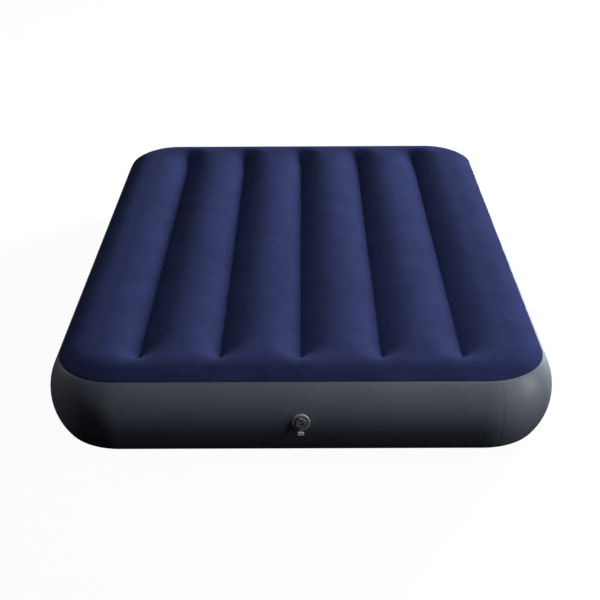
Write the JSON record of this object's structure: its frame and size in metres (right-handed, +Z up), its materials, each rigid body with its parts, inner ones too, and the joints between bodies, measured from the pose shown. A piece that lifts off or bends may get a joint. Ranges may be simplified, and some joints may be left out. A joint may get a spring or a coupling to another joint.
{
  "type": "air mattress",
  "caption": "Full-size inflatable bed with lengthwise chambers, a flocked top, a smooth bulged side wall and a screw-in inflation valve with a hinged cap.",
  "frame": {"origin": "on the floor, under the middle of the inflated bed", "axes": "+Z up, +Y along the chambers away from the valve end, +X across them"},
  "size_m": [1.37, 1.9181, 0.256],
  "materials": {
    "flocked_sheet": "matte",
    "side_vinyl": "satin",
    "bottom_vinyl": "satin",
    "beam_vinyl": "satin",
    "valve_grey": "satin",
    "plug_grey": "satin",
    "seal_rubber": "matte",
    "tab_white": "satin"
  },
  "bodies": {
    "bed": {"top_sheet": "flocked_sheet", "bottom_sheet": "bottom_vinyl", "side_wall": "side_vinyl", "beam_1_web": "beam_vinyl", "beam_2_web": "beam_vinyl", "beam_3_web": "beam_vinyl", "beam_4_web": "beam_vinyl", "beam_5_web": "beam_vinyl", "beam_1_top_weld_strip": "beam_vinyl", "beam_2_top_weld_strip": "beam_vinyl", "beam_3_top_weld_strip": "beam_vinyl", "beam_4_top_weld_strip": "beam_vinyl", "beam_5_top_weld_strip": "beam_vinyl", "beam_1_bottom_weld_strip": "beam_vinyl", "beam_2_bottom_weld_strip": "beam_vinyl", "beam_3_bottom_weld_strip": "beam_vinyl", "beam_4_bottom_weld_strip": "beam_vinyl", "beam_5_bottom_weld_strip": "beam_vinyl", "valve_patch": "bottom_vinyl", "valve_base": "valve_grey"},
    "seal": {"plug_seal": "seal_rubber"},
    "plug": {"valve_plug": "plug_grey"},
    "flap": {"one_way_flap": "seal_rubber", "flap_stem": "plug_grey"},
    "cap": {"valve_cap": "plug_grey", "pull_tab": "tab_white"}
  },
  "joints": [
    {"name": "plug_out", "type": "slide", "parent": "bed", "child": "seal", "axis": [0, -1, 0], "range_m": [0, 0.012]},
    {"name": "plug_turn", "type": "hinge", "parent": "seal", "child": "plug", "pos_m": [0, -0.955, 0.128], "axis": [0, -1, 0], "range_deg": [0, 1080]},
    {"name": "cap_hinge", "type": "hinge", "parent": "plug", "child": "cap", "pos_m": [0, -0.9604, 0.1439], "axis": [-1, 0, 0], "range_deg": [0, 130]},
    {"name": "flap_lift", "type": "slide", "parent": "plug", "child": "flap", "axis": [0, 1, 0], "range_m": [0, 0.0025], "stiffness_N_per_m": 20, "springref_m": -0.002}
  ],
  "couplings": [
    {"joint": "plug_turn", "follows": "plug_out", "rad_per_m": 1570.7}
  ]
}
